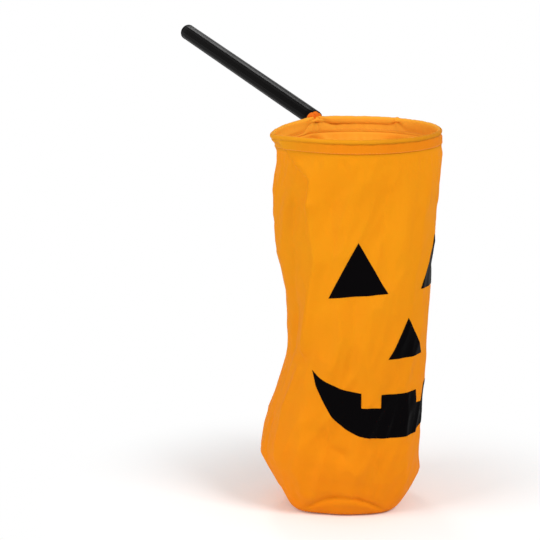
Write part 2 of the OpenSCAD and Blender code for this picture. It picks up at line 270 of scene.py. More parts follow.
# The die leaves faint lines along the whole tube, drawn a few mm apart, coarser than the real ones.
# Each wave of lines has its count round the tube, its start and its depth in mm.
die_waves = ((21, 0, 0.04), (34, 1, 0.02), (13, 2, 0.06))
tube_turns = np.linspace(0, 2 * pi, tube_cols, endpoint=False)
die_lines = sum(depth * np.sin(count * tube_turns + start) for count, start, depth in die_waves) * MM
tube_places = np.linspace(mouth_set, tube_end, tube_rings)
tube_radii = np.interp(tube_places, (mouth_set, taper_end), (throat_r, tube_r))
points = [
    on_handle((r + line) * cos(turn), (r + line) * sin(turn), along)
    for r, along in zip(tube_radii, tube_places)
    for line, turn in zip(die_lines - die_lines.max(), tube_turns)
]
faces = grid_faces(tube_rings, tube_cols, closed=True)
handle_tube = new_piece("handle_tube_skin", points, faces, black_plastic)
wall = handle_tube.modifiers.new("wall", "SOLIDIFY")
wall.thickness = tube_wall
wall.offset = -1
wall.use_even_offset = True
rounding = handle_tube.modifiers.new("rounding", "BEVEL")
rounding.width = edge_round
rounding.segments = 3
rounding.limit_method = "ANGLE"
rounding.angle_limit = round_from
settle(handle_tube, hard_from)
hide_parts("handle_tube")
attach(handle_tube, "net")

# The end cap: a moulded plug of the same black plastic, pushed into the tube's far end.
# Its head lies on the tube's edge and is as wide as the tube, with a rounded rim.
cap_t = 2.5 * MM
cap_round = 1.5 * MM
head_chamfer = 0.15 * MM
spigot_l = 12 * MM
spigot_r = tube_r - tube_wall
spigot_chamfer = 0.4 * MM
spigot_end = tube_end - spigot_l
cap_hard_from = radians(35)
cap_cols = 72
rim_steps = 8
rim_turns = np.linspace(0, pi / 2, rim_steps)
profile = [
    (0, spigot_end), (spigot_r - spigot_chamfer, spigot_end), (spigot_r, spigot_end + spigot_chamfer),
    (spigot_r, tube_end), (tube_r - head_chamfer, tube_end), (tube_r, tube_end + head_chamfer),
]
profile += [
    (tube_r - cap_round + cap_round * cos(turn), tube_end + cap_t - cap_round + cap_round * sin(turn))
    for turn in rim_turns
]
profile += [(0, tube_end + cap_t)]
points = [
    on_handle(r * cos(2 * pi * col / cap_cols), r * sin(2 * pi * col / cap_cols), along)
    for r, along in profile for col in range(cap_cols)
]
end_cap = new_piece("end_cap_skin", points, grid_faces(len(profile), cap_cols, closed=True), black_plastic)
end_cap.data.set_sharp_from_angle(angle=cap_hard_from)
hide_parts("handle_end_cap")
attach(end_cap, "net")

# The hoop's wire and its plug: one bent spring wire, with both prongs pressed into a grey plug
# inside the tube. The ring gives a little at its left, and it is hidden in the cloth.

# Bright spring steel: drawn wire, a plain metal with a half-dull shine.
wire_steel, tree, surface = empty_material("bright_spring_steel")
shader = add_node(tree, "ShaderNodeBsdfPrincipled", {
    "Base Color": linear("#b4b2ae"), "Metallic": 1.0, "Roughness": 0.32,
})
tree.links.new(shader.outputs["BSDF"], surface)

# Grey moulded plastic: even and matt, inside the tube.
plug_plastic, tree, surface = empty_material("grey_moulded_plastic")
shader = add_node(tree, "ShaderNodeBsdfPrincipled", {"Base Color": linear("#6e6c69"), "Roughness": 0.5})
tree.links.new(shader.outputs["BSDF"], surface)
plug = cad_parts["wire_plug"]
plug.data.materials.clear()
plug.data.materials.append(plug_plastic)

# The ring hangs lowest at its left, a little behind, and not at all by the tube. sag is in mm.
sag = 5.0
sag_mid = radians(238)
sag_to_back, sag_to_front = radians(40), radians(33)
sag_start, sag_free = radians(178), radians(195)


def soft(value, start, end):
    """A share that eases from 0 at start to 1 at end."""
    share = np.clip((value - start) / (end - start), 0, 1)
    return share * share * (3 - 2 * share)


def hump(away, width):
    """A smooth hump, 1 where away is 0, that falls off over about its width."""
    return np.exp(-(away / width) ** 2)


def hoop_sag(angle):
    """How far the hoop hangs below its plane, in mm, by an angle round it from its front."""
    turn = angle % (2 * pi)
    aside = turn - sag_mid
    spread = np.where(aside < 0, sag_to_back, sag_to_front)
    return sag * hump(aside, spread) * soft(turn, sag_start, sag_free)


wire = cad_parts["hoop_wire"]
points = [wire.matrix_world @ corner.co for corner in wire.data.vertices]
for point in points:
    point.z -= float(hoop_sag(np.arctan2(point.x - hoop_mid.x, hoop_mid.y - point.y))) * MM
faces = [tuple(face.vertices) for face in wire.data.polygons]
hoop_wire = new_piece("hoop_wire_ring", points, faces, wire_steel)
hoop_wire.data.set_sharp_from_angle(angle=hard_from)
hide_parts("hoop_wire")
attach(hoop_wire, "net")

# The hem casing: the bag's top edge, a strip of the same cloth folded over the wire. Its roll goes
# round the wire, and its two plies hang down inside and outside and are sewn through the panels.

# From here on, the cloth's sizes are in mm, outwards from the wire and down from it. Those of a whole
# piece laid flat are in metres. wall_r is about the radius of the bag's wall.
inner_ply = -0.25
outer_ply = 0.65
inner_drop = 12.3
outer_drop = 10.5
ply_top = 3.2
roll_mid = 1.9
roll_start, roll_end = radians(258), radians(-72)
casing_t = 0.4
wall_r = 74
strip_end = radians(119.6)
ply_rows, roll_rows, ring_cols = 11, 34, 420


def between(value, start, full, last, gone):
    """A share that eases in from start to full and out again from last to gone."""
    return soft(value, start, full) * (1 - soft(value, last, gone))


def turn_from(angle, mid):
    """The turn from mid to angle, from -pi to pi."""
    return (angle - mid + pi) % (2 * pi) - pi


# How far one seed's noise lies from the next, counted in lumps.
seed_steps = (7.3, -3.1, 5.7)


def crumple(angle, drop, wide, tall, seed):
    """Smooth noise from -1 to 1 that closes round the bag's wall, with lumps about wide by tall mm."""
    ring = wall_r / wide
    places = zip(
        (ring * np.sin(angle) + seed_steps[0] * seed).ravel(),
        (ring * np.cos(angle) + seed_steps[1] * seed).ravel(),
        (drop / tall + seed_steps[2] * seed).ravel(),
    )
    return np.array([noise.noise(place) for place in places]).reshape(angle.shape)


def shell(outer, inner, closed=False):
    """A thin closed sheet between two grids: its points, its faces and each point's place in the grids."""
    rows, cols = outer.shape[:2]
    face_up = grid_faces(rows, cols, closed)
    half = rows * cols
    edges = {pair for face in face_up for pair in zip(face, face[1:] + face[:1])}
    rim = [(b, a, half + a, half + b) for a, b in edges if (b, a) not in edges]
    faces = face_up + [tuple(half + v for v in reversed(face)) for face in face_up] + sorted(rim)
    used = sorted({v for face in faces for v in face})
    renamed = {v: at for at, v in enumerate(used)}
    points = np.concatenate([outer.reshape(-1, 3), inner.reshape(-1, 3)])
    return points[used], [tuple(renamed[v] for v in face) for face in faces], used


# Orange polyester cloth: soft, with a dull sheen, a fine weave and faint uneven dye, and painted shade that
# makes it deeper towards the base by default. Some light goes through it, so the far side of the bag glows.
# The weave is drawn 0.6 mm apart, coarser than the real one, so that it shows.
thread_gap = 0.6 * MM
weave_height = 0.08 * MM
blotch_size = 26 * MM
blotch_share = 0.4
fade_share = 0.6


def cloth_material(name, colour, deep, through, glow, fade=("Y", 0.10, 0.34)):
    """The woven cloth in one dye: its colour, the deeper one of its blotches and of its painted shade, and
    how much light goes through in what glow. fade says along which way of the flat cloth the painted shade
    makes it deeper, and where."""
    material, tree, surface = empty_material(name)
    fade_way, fade_from, fade_to = fade
    # A wave is 2 pi / 20 long at a scale of 1.
    wave_scale = 2 * pi / 20 / thread_gap
    flat = add_node(tree, "ShaderNodeUVMap", uv_map="cloth")
    warp, weft = (
        add_node(tree, "ShaderNodeTexWave", {
            "Vector": flat.outputs["UV"], "Scale": wave_scale,
        }, bands_direction=way).outputs["Fac"]
        for way in ("X", "Y")
    )
    weave = add_node(tree, "ShaderNodeMath", {0: warp, 1: weft}, operation="ADD")
    blotch = add_node(tree, "ShaderNodeTexNoise", {
        "Vector": flat.outputs["UV"], "Scale": 1 / blotch_size, "Detail": 5.0, "Roughness": 0.6,
    })
    # Painted shade: towards fade_to the colour is drawn deeper, to the deep colour.
    down = add_node(tree, "ShaderNodeSeparateXYZ", {"Vector": flat.outputs["UV"]})
    lighter = add_node(tree, "ShaderNodeMapRange", {
        "Value": down.outputs[fade_way], "From Min": fade_from, "From Max": fade_to,
        "To Min": fade_share, "To Max": 0.0,
    })
    share = add_node(tree, "ShaderNodeMath", {
        0: blotch.outputs["Fac"], 1: blotch_share, 2: lighter.outputs["Result"],
    }, operation="MULTIPLY_ADD")
    dye_and_painted_shade = add_node(tree, "ShaderNodeMix", {
        0: share.outputs["Value"], 6: linear(deep), 7: linear(colour),
    }, data_type="RGBA")
    raised = add_node(tree, "ShaderNodeBump", {
        "Height": weave.outputs["Value"], "Strength": 0.35, "Distance": weave_height,
    })
    front = add_node(tree, "ShaderNodeBsdfPrincipled", {
        "Base Color": dye_and_painted_shade.outputs[2], "Roughness": 0.7, "Specular IOR Level": 0.14,
        "Sheen Weight": 0.06, "Sheen Roughness": 0.5, "Sheen Tint": linear("#ffb040"),
        "Normal": raised.outputs["Normal"],
    })
    behind = add_node(tree, "ShaderNodeBsdfTranslucent", {"Color": linear(glow)})
    both = add_node(tree, "ShaderNodeMixShader", {
        "Fac": through, 1: front.outputs["BSDF"], 2: behind.outputs["BSDF"],
    })
    tree.links.new(both.outputs["Shader"], surface)
    return material


# The casing is one cloth in lit and shaded copies, as painted light. The roll is painted lighter, as painted
# light on its top, and the outer ply deeper, as painted shade under the roll. Both are painted deeper
# towards the right as painted shade, and the outer ply's lighter left end is a painted highlight. The inside
# is painted the lightest, as painted light for the glow through the cloth.
hem_cloth = cloth_material(
    "orange_hem_cloth", "#eaa40c", "#e98204", through=0.2, glow="#ff8c10", fade=("X", 0.090, 0.150)
)
inside_cloth = cloth_material("orange_cloth_inside", "#ffc23e", "#fdb632", through=0.35, glow="#ffc030")
roll_cloth = cloth_material(
    "orange_roll_cloth", "#f4a614", "#d08604", through=0.2, glow="#ff9a14", fade=("X", 0.100, 0.250)
)

# The strip's section, from the inner ply's edge up round the wire and down to the outer ply's edge.
roll_turns = np.linspace(roll_start, roll_end, roll_rows)
profile = [(inner_ply, -drop) for drop in np.linspace(inner_drop, ply_top, ply_rows)]
profile += [(roll_mid * cos(turn), roll_mid * sin(turn)) for turn in roll_turns]
profile += [(outer_ply, -drop) for drop in np.linspace(ply_top, outer_drop, ply_rows)]
profile = np.array(profile)
steps = np.gradient(profile, axis=0)
outward = np.stack([-steps[:, 1], steps[:, 0]], axis=1) / np.linalg.norm(steps, axis=1)[:, None]
angle, row = np.meshgrid(np.linspace(0, 2 * pi, ring_cols, endpoint=False), np.arange(len(profile)))
length = np.cumsum(np.linalg.norm(steps, axis=1))[row]

# The cloth's lumps and puckers on the roll, and finer ones on the plies below it.
roll_lump, roll_pucker, ply_pucker = 0.3, 0.2, 0.2
lump_twist = 60
ply_from, ply_full = 3, 10
ply_share = soft(-profile[row, 1], ply_from, ply_full)
on_roll = roll_lump * crumple(angle, length + lump_twist * angle, wide=7, tall=9, seed=3)
on_roll = on_roll + roll_pucker * crumple(angle, length, wide=2.6, tall=14, seed=4)
on_ply = ply_pucker * (0.5 + crumple(angle, length, wide=3.2, tall=9, seed=5))
lumps = on_roll * (1 - ply_share) + on_ply * ply_share

# Pleats spread from the tube's mouth, where the strip is drawn together.
pleat_height = 1.7
pleat_count = 9
pleat_wander, wander_count = 2, 4
pleat_reach = 18
pleat_top = 2
pleat_aside = (angle - pi) * hoop_r / MM
pleat_below = pleat_top - profile[row, 1]
pleat_turn = np.arctan2(pleat_aside, pleat_below)
pleat_share = np.exp(-np.hypot(pleat_aside, pleat_below) / pleat_reach)
pleat_wave = np.cos(pleat_count * pleat_turn + pleat_wander * np.sin(wander_count * pleat_turn))
lumps = lumps + pleat_height * pleat_share * (0.5 + 0.5 * pleat_wave)

# The strip's end laps over the roll in a small step, and the inner ply's edge is pressed to the wall.
lap_step, lap_width = 0.8, 1.5
edge_press, press_rows = 0.15, 3
lumps = lumps + lap_step * hump((angle - strip_end) * hoop_r / MM, lap_width) * (1 - ply_share)
lumps = (lumps + edge_press) * soft(row, 0, press_rows) - edge_press

# Inside, the roll hangs slack: how far, from where to where, and the turns over which it starts and ends.
slack_runs = (
    (2.8, strip_end, pi - 0.04, 0.1, 0.21),
    (7.0, radians(40), strip_end - 0.02, 0.15, 0.15),
    (7.0, pi + 0.06, radians(275), 0.15, 0.15),
)
slack_fade = 0.6
slack = sum(
    height * between(angle, start, start + ease_in, end - ease_out, end)
    for height, start, end, ease_in, ease_out in slack_runs
)
slack_share = np.concatenate([
    np.linspace(0, 1, ply_rows),
    np.clip((roll_turns - pi) / (roll_turns[0] - pi), 0, 1) ** slack_fade,
    np.zeros(ply_rows),
])


def on_ring(angle, across, height):
    """Points in metres, by angle round the hoop from its front and mm outwards from its wire and above."""
    r = hoop_r + across * MM
    up = hoop_mid.z + (height - hoop_sag(angle)) * MM
    return np.stack([hoop_mid.x + r * np.sin(angle), hoop_mid.y - r * np.cos(angle), up], axis=-1)


# Under the hoop the cloth hangs in at the bag's left, up to a slanting crease, and out at its right.
# bag_turn is the turn from the hoop's front to the bag's own. A span says at what drops a form starts, is
# full, starts to fade and is gone.
bag_turn = radians(-30)
inset_deep = 2.6
inset_mid, inset_spread = radians(-100), radians(42)
inset_span = (2.4, 8.5, 24, 110)
crease_deep = 4.6
crease_start, crease_reach, crease_half = radians(34), radians(40), radians(1.7)
crease_slant = radians(1.15)
crease_top, crease_run = 4, 30
flare_out = 1.4
flare_mid, flare_spread = radians(90), radians(30)
flare_span = (2, 5, 20, 60)


def hang_in(angle, drop):
    """How far the cloth hangs in under the hoop, in mm, by an angle from the bag's own front."""
    away = turn_from(angle, inset_mid)
    crease = crease_start + crease_slant * np.clip(drop - crease_top, 0, crease_run)
    step = 1 - soft(away - crease, -crease_half, crease_half)
    inset = inset_deep * hump(away, inset_spread) + crease_deep * step * soft(away, 0, crease_reach)
    flare = flare_out * hump(turn_from(angle, flare_mid), flare_spread)
    return inset * between(drop, *inset_span) - flare * between(drop, *flare_span)


sides = []
for off in (casing_t / 2, -casing_t / 2):
    moved = profile[row] + outward[row] * (lumps + off)[..., None]
    moved[..., 1] -= slack * slack_share[row]
    inset = hang_in(angle - bag_turn, -moved[..., 1])
    sides.append(on_ring(angle, moved[..., 0] - inset, moved[..., 1]))
points, faces, used = shell(*sides, closed=True)
flat_start = radians(200)
flat = np.stack([(angle - flat_start) % (2 * pi) * hoop_r, length * MM], axis=-1).reshape(-1, 2)
hem_casing = new_piece("hem_casing_cloth", points, faces, hem_cloth, np.concatenate([flat, flat])[used])
hem_casing.data.materials.append(roll_cloth)
hem_casing.data.materials.append(inside_cloth)
# Faces inside the hoop take the painted-light inside cloth, the roll's rows its painted-lit copy and the
# outer ply's rows its painted-shade copy.
inside_to = radians(100)
inside_rows = ply_rows + int(np.argmin(np.abs(roll_turns - inside_to)))
strip_squares = (len(profile) - 1) * ring_cols
for face in hem_casing.data.polygons:
    strip_row = face.index % strip_squares // ring_cols
    face.material_index = 2 if strip_row < inside_rows else int(strip_row < ply_rows + roll_rows - 1)
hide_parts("hem_casing")
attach(hem_casing, "net")

# The gather: the casing's two ends, drawn together round the wire and tucked into the tube's mouth.
# They show there as a small tuft of pleats, painted deep red-orange as painted shade inside the tube's
# mouth. Its lower half is drawn back from the roll.
tuft_cloth = cloth_material("orange_tucked_cloth", "#e87414", "#dc620c", through=0.1, glow="#ff7a14")
tuft_r = 7.4
tuft_wide = 1.12
tuft_bulge = 4.4
tuft_end = 9.0
tuft_mouth = 1.6
tuft_aside = -1.1
tuft_round = 0.7
tuft_notch = 0.1
tuft_pleats, tuft_wander, tuft_twist = 2.5, 1.4, 2.4
tuft_crest = 0.8
tuft_groove = 1.5
groove_end = 0.9
tuft_fray = 0.7
fray_run = 40
tuft_draw = 2.4
draw_from, draw_full = -1, 3
bore_r = 6.2
tuft_rows, tuft_cols = 40, 140
dome_rows = 28
share, around = np.meshgrid(
    np.concatenate([np.linspace(0, 1, dome_rows), np.linspace(1, 2, tuft_rows - dome_rows + 1)[1:]]),
    np.linspace(0, 2 * pi, tuft_cols, endpoint=False), indexing="ij"
)
dome = np.clip(share, 0, 1)
inside = np.clip(share - 1, 0, 1)
pleat_turn = tuft_pleats * around + tuft_wander * np.sin(around + 1) + tuft_twist * dome
pleats = np.abs(np.sin(pleat_turn)) ** tuft_crest
fray = crumple(around, fray_run * share, wide=34, tall=7, seed=8)
reach = np.where(inside > 0, bore_r, tuft_r * dome * (1 - tuft_notch * (1 - pleats) * dome))
along = tuft_mouth - tuft_bulge * (1 - dome ** 2) ** tuft_round + (tuft_end - tuft_mouth) * inside
folded_in = tuft_groove * (1 - pleats) + tuft_fray * fray
along = along + folded_in * np.sin(pi * np.clip(dome, 0, groove_end)) * (1 - inside)
along = along + tuft_draw * soft(reach * np.sin(around), draw_from, draw_full) * (1 - inside)
across = np.where(inside > 0, reach * np.cos(around), reach * np.cos(around) * tuft_wide + tuft_aside)
points = [
    on_handle(x * MM, y * MM, s * MM)
    for x, y, s in zip(across.ravel(), (reach * np.sin(around)).ravel(), along.ravel())
]
faces = grid_faces(tuft_rows, tuft_cols, closed=True)
faces.append(tuple(range((tuft_rows - 1) * tuft_cols, tuft_rows * tuft_cols)))
flat = np.stack([around.ravel() * tuft_r, along.ravel()], axis=-1) * MM
tuft = new_piece("casing_tuft", points, faces, tuft_cloth, flat)
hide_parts("casing_gather")
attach(tuft, "net")

# The front and back panels: the bag's wall, two pieces of orange cloth that hang from the hem.
# They are sewn together at both sides, narrow at the waist, and widen to a soft corner over the base.

# The wall's width, depth and sideways lean at five levels: hem, shoulder, waist, belly and base.
levels = (12.5, 60, 180, 297, 342)
wall_widths = (148.8, 152, 131, 150, 100)
wall_depths = (148.8, 142, 161, 143, 100)
wall_leans = (0, 0, 3, -12, -6.5)
wall_top = 7.5
waist_drop, belly_drop, bag_drop = levels[2:]
cloth_t = 0.3
foot_round = 6

# The knee, where the belly turns in to the base, is lower at the right and blurred at front and back.
knee_drop = 303
knee_slant = 9
knee_blur = 30
blur_from, blur_full = 200, 270
blur_steps = (-1, -0.5, 0, 0.5, 1)

# Round the bag the wall swells out and in four times. Over the base it is pulled out at four soft corners:
# where each is, and how far it is pulled.
fold_swell = 0.05
fold_count = 4
fold_run = 70
fold_angle = radians(47)
base_corners = ((radians(-48), 7), (radians(46), 4.5), (radians(132), 4), (radians(-130), 5))
corner_spread = radians(19)
corner_from, corner_full = 306, 338

# The hoop's sag is lost down the wall, and the face is turned to the right of the bag's own front.
sag_held, sag_lost = 10, 70
face_angle = radians(39)
seam_angles = (face_angle - pi / 2, face_angle + pi / 2)


def along_wall(level, sizes):
    """A size at each level, eased between the five given ones and straight below the belly."""
    result = np.full(level.shape, float(sizes[0]))
    for at in range(3):
        share = np.clip((level - levels[at]) / (levels[at + 1] - levels[at]), 0, 1)
        result = result + (sizes[at + 1] - sizes[at]) * (1 - np.cos(pi * share)) / 2
    return result + (sizes[4] - sizes[3]) * np.maximum(level - levels[3], 0) / (levels[4] - levels[3])


def bag_point(angle, drop, reach):
    """Points in metres on the wall's outer face, by angle from the bag's own front, drop below the hoop and
    reach outwards from the plain wall, both in mm."""
    knee = knee_drop + knee_slant * np.sin(angle)
    upper = waist_drop + (drop - waist_drop) * (belly_drop - waist_drop) / (knee - waist_drop)
    lower = belly_drop + (drop - knee) * (bag_drop - belly_drop) / (bag_drop - knee)
    level = np.where(drop < waist_drop, drop, np.where(drop < knee, upper, lower))
    fold = fold_swell * np.clip(np.minimum(level - levels[0], bag_drop - level) / fold_run, 0, 1)
    swell = 1 + fold * np.cos(fold_count * (angle - fold_angle))
    below = np.clip(drop - (bag_drop - foot_round), 0, foot_round)
    reach = reach - (foot_round - np.sqrt(foot_round ** 2 - below ** 2)) - hang_in(angle, drop)
    for corner, stretch in base_corners:
        pulled = hump(turn_from(angle, corner), corner_spread) * soft(drop, corner_from, corner_full)
        reach = reach + stretch * pulled
    blur = knee_blur * np.cos(angle) ** 2 * soft(level, blur_from, blur_full)
    lean, width, depth = (
        sum(along_wall(level + step * blur, sizes) for step in blur_steps) / len(blur_steps)
        for sizes in (wall_leans, wall_widths, wall_depths)
    )
    across = lean + (width / 2 * swell + reach) * np.sin(angle)
    back = -(depth / 2 * swell + reach) * np.cos(angle)
    sagged = hoop_sag(angle + bag_turn) * (1 - soft(drop, sag_held, sag_lost))
    return np.stack([
        hoop_mid.x + (across * cos(bag_turn) - back * sin(bag_turn)) * MM,
        hoop_mid.y + (across * sin(bag_turn) + back * cos(bag_turn)) * MM,
        hoop_mid.z - (drop + sagged) * MM,
    ], axis=-1)


# The bag's lasting folds: how far each stands out, before fold_depth deepens them all, and how wide it
# is, both in mm, and its line down the cloth, in degrees from the bag's own front and mm below the hoop.
fold_depth = 1.7
fold_crest = 1.4
folds = (
    (2.0, 7, ((-46, 14), (-31, 30), (-29, 56))),
    (3.4, 6, ((-29, 56), (-27, 105), (-36, 150), (-44, 185))),
    (-2.6, 10, ((-47, 60), (-46, 110), (-54, 150), (-60, 185))),
    (-1.6, 9, ((-16, 60), (-15, 95), (-22, 140))),
    (1.4, 8, ((6, 36), (-2, 70), (-9, 98))),
    (-1.4, 7, ((22, 45), (18, 85), (24, 120))),
    (1.3, 7, ((38, 50), (34, 110), (30, 150))),
    (1.3, 6, ((-14, 146), (-12, 175), (-18, 200))),
    (-1.2, 6, ((-2, 142), (-3, 172), (-6, 200))),
    (1.1, 6, ((12, 145), (8, 180), (9, 205))),
    (-2.4, 5, ((-46, 186), (-43, 193))),
    (1.8, 8, ((-46, 204), (-52, 240), (-47, 288))),
    (-1.9, 9, ((-66, 215), (-70, 255), (-64, 290))),
    (1.7, 9, ((-30, 250), (-27, 285), (-32, 318))),
    (-2.0, 6, ((-17, 258), (-10, 272), (1, 280))),
    (2.2, 14, ((5, 292), (10, 296))),
    (-1.6, 7, ((24, 272), (30, 300), (26, 322))),
    (1.3, 7, ((44, 280), (48, 305))),
    (1.3, 3.2, ((27, 228), (15, 258))),
    (-1.1, 3, ((35, 228), (33, 262))),
    (1.2, 3, ((42, 226), (44, 266))),
    (1.1, 3, ((57, 228), (54, 262))),
    (2.0, 9, ((150, 30), (158, 110), (146, 190))),
    (-2.2, 9, ((176, 40), (172, 120), (180, 200))),
    (2.2, 8, ((-150, 24), (-158, 90), (-148, 170))),
    (-1.8, 4, ((-156, 14), (-166, 40))),
    (1.8, 4, ((-146, 14), (-138, 44))),
    (-2.0, 8, ((-122, 50), (-118, 130), (-126, 210))),
    (1.8, 9, ((165, 230), (156, 290))),
    (-1.8, 8, ((-140, 225), (-132, 300))),
    (1.2, 24, ((90, 20), (90, 38))),
    (-1.0, 16, ((90, 80), (90, 96))),
    (-2.4, 26, ((88, 70), (90, 140), (90, 215))),
    (-1.0, 24, ((88, 232), (86, 262))),
    (-2.6, 22, ((-90, 214), (-92, 246))),
)


def on_line(angle, drop, line, width):
    """1 on a line of (degrees, drop) points across the cloth, fading to 0 over about width mm."""
    nearest = np.full(angle.shape, np.inf)
    for (turn, start), (next_turn, end) in zip(line, line[1:]):
        aside = turn_from(angle, radians(turn)) * wall_r
        run = radians(next_turn - turn) * wall_r
        fall = end - start
        share = np.clip((aside * run + (drop - start) * fall) / (run ** 2 + fall ** 2), 0, 1)
        nearest = np.minimum(nearest, np.hypot(aside - share * run, drop - start - share * fall))
    return np.exp((fold_crest - np.hypot(nearest, fold_crest)) / width)


# The wall's wide waves, and its slanting ridges: how high they are in mm, their slant in radians to a mm,
# their width and length in mm, and their seed. Both fade out at the hem and over the base.
hang_span = (14, 60, 318, 340)
wave_height = 2.0
ridge_level = 0.3
ridges = ((5.0, 0.003, 28, 70, 2), (2.2, 0.004, 15, 32, 6))

# An arched crease over the base at the front: the height, place below its line and width of its humps.
arch_drop, arch_fall = 322, 11
arch_half = radians(32)
arch_fade = (radians(28), radians(42))
arch_humps = ((1.2, 6, 4), (0.8, -7, 6), (-2.2, 0, 1.8))

# Puckers under the hem and along the seams, and a step in below the inner ply's edge at the back, so that
# the wall lies flush with the ply.
hem_pucker = 1.5
hem_pucker_fade = (14, 34)
seam_pucker, pucker_wide, pucker_gap = 0.2, 6, 11
relief_span = (12.5, 22, 336, 342)
flush_step = 0.8
flush_span = (11.6, 13.2, 18, 40)
flush_fade = (radians(75), radians(95))


def wall_relief(angle, drop):
    """How far the cloth stands out from the plain wall in mm, with its folds, creases and puckers."""
    hang = between(drop, *hang_span)
    relief = hang * wave_height * crumple(angle, drop, wide=40, tall=150, seed=1)
    for height, slant, wide, tall, seed in ridges:
        ridge = ridge_level - np.abs(crumple(angle + slant * drop, drop, wide, tall, seed))
        relief += hang * height * ridge
    for height, width, line in folds:
        relief += fold_depth * height * on_line(angle, drop, line, width)
    front = turn_from(angle, 0)
    arch = drop - (arch_drop + arch_fall * (front / arch_half) ** 2)
    humps = sum(height * hump(arch - below, width) for height, below, width in arch_humps)
    relief += (1 - soft(np.abs(front), *arch_fade)) * humps
    puckers = crumple(angle, drop, wide=5, tall=30, seed=7)
    relief += hem_pucker * (1 - soft(drop, *hem_pucker_fade)) * puckers
    for seam in seam_angles:
        away = turn_from(angle, seam) * wall_r
        relief += seam_pucker * hump(away, pucker_wide) * np.cos(2 * pi * drop / pucker_gap)
    back = turn_from(angle + bag_turn, pi)
    flush = flush_step * between(drop, *flush_span) * (1 - soft(np.abs(back), *flush_fade))
    return relief * between(drop, *relief_span) - flush


# The bag's cloth is painted deeper from 100 mm down to the base, as painted shade over the lower wall.
bag_cloth = cloth_material("orange_bag_cloth", "#e4a60b", "#f39006", through=0.35, glow="#f6a612")
panel_rows, panel_cols = 230, 150
crease_from = radians(60)
panel_squares = (panel_rows - 1) * (panel_cols - 1)
for node, start in (("front_panel", seam_angles[0]), ("back_panel", seam_angles[1])):
    drop, angle = np.meshgrid(
        np.linspace(wall_top, bag_drop, panel_rows),
        np.linspace(start, start + pi, panel_cols),
        indexing="ij",
    )
    relief = wall_relief(angle, drop)
    points, faces, used = shell(bag_point(angle, drop, relief), bag_point(angle, drop, relief - cloth_t))
    flat = np.stack([angle * wall_r, drop], axis=-1).reshape(-1, 2) * MM
    panel = new_piece(node + "_cloth", points, faces, bag_cloth, np.concatenate([flat, flat])[used])
    panel.data.set_sharp_from_angle(angle=crease_from)
    # The panels' inner faces take the inside cloth, painted lighter as painted light for the glow through
    # the cloth.
    panel.data.materials.append(inside_cloth)
    for face in panel.data.polygons:
        face.material_index = int(panel_squares <= face.index < 2 * panel_squares)
    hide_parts(node)
    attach(panel, "net")
    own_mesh(panel)

# The base panel: a round of the same cloth that closes the bag. Its edge is turned up inside the
# wall and sewn to it, and it lies flat on the floor.
base_rim = 5
base_t = 0.4
base_gap = 0.1
base_bend = 1.5
base_rings, base_cols = 24, 160
bend_insets = (0.6, 0.15, 0, 0, 0)
bend_lifts = (0.15, 0.6, base_bend, 3.2, base_rim)
base_insets = np.concatenate([np.full(base_rings, base_bend), bend_insets])
base_lifts = np.concatenate([np.zeros(base_rings), bend_lifts])
base_shares = np.concatenate([np.linspace(0, 1, base_rings), np.ones(len(bend_lifts))])
base_turns = np.linspace(0, 2 * pi, base_cols, endpoint=False)
row, angle = np.meshgrid(np.arange(len(base_lifts)), base_turns, indexing="ij")
base_edge = np.full(angle.shape, float(bag_drop))
base_mid = bag_point(base_turns, base_edge[0], np.zeros(base_cols)).mean(axis=0)
sides = []
for inset in (0, base_t):
    reach = -cloth_t - base_gap - base_insets[row] - inset * (base_lifts[row] > 0)
    spot = base_mid + (bag_point(angle, base_edge, reach) - base_mid) * base_shares[row][..., None]
    spot[..., 2] += (base_lifts[row] + inset * (base_lifts[row] < base_bend)) * MM
    sides.append(spot)
points, faces, used = shell(*sides, closed=True)
flat = (sides[0][..., :2] - base_mid[:2]).reshape(-1, 2)
base = new_piece("base_panel_cloth", points, faces, bag_cloth, np.concatenate([flat, flat])[used])
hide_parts("base_panel")
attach(base, "bag_base")

# The face: four pieces of glossy black film, bonded to the front panel: two eyes, a nose and a grin
# with two teeth. Each is cut flat, so it is laid on by its length along the cloth.
film_t = 0.2
film_lift = 0.08
face_mid = 46
film_grid = 36

# Black vinyl film: very dark under a thin gloss, with soft reflections that follow the cloth's creases.
ripple_size = 7 * MM
ripple_height = 0.4 * MM
black_film, tree, surface = empty_material("black_vinyl_film")
coords = add_node(tree, "ShaderNodeTexCoord")
ripple = add_node(tree, "ShaderNodeTexNoise", {
    "Vector": coords.outputs["Object"], "Scale": 1 / ripple_size, "Detail": 2.0,
})
raised = add_node(tree, "ShaderNodeBump", {
    "Height": ripple.outputs["Fac"], "Strength": 0.3, "Distance": ripple_height,
})
shader = add_node(tree, "ShaderNodeBsdfPrincipled", {
    "Base Color": linear("#040304"), "Roughness": 0.3, "Specular IOR Level": 0.0,
    "Coat Weight": 0.14, "Coat IOR": 1.25, "Coat Roughness": 0.2,
    "Normal": raised.outputs["Normal"], "Coat Normal": raised.outputs["Normal"],
})
tree.links.new(shader.outputs["BSDF"], surface)

# The length along the plain wall from the bag's front to each angle of a sweep, at each level of the face.
sweep_from, sweep_to, sweep_step = -70, 150.5, 0.5
sweep = np.radians(np.arange(sweep_from, sweep_to, sweep_step))
first_drop, last_drop, drop_step = 80, 280, 2
girth = []
for drop in range(first_drop, last_drop, drop_step):
    line = bag_point(sweep, np.full(sweep.shape, float(drop)), np.zeros(sweep.shape)) / MM
    run = np.concatenate([[0], np.cumsum(np.linalg.norm(np.diff(line, axis=0), axis=1))])
    girth.append(run - np.interp(0, sweep, run))


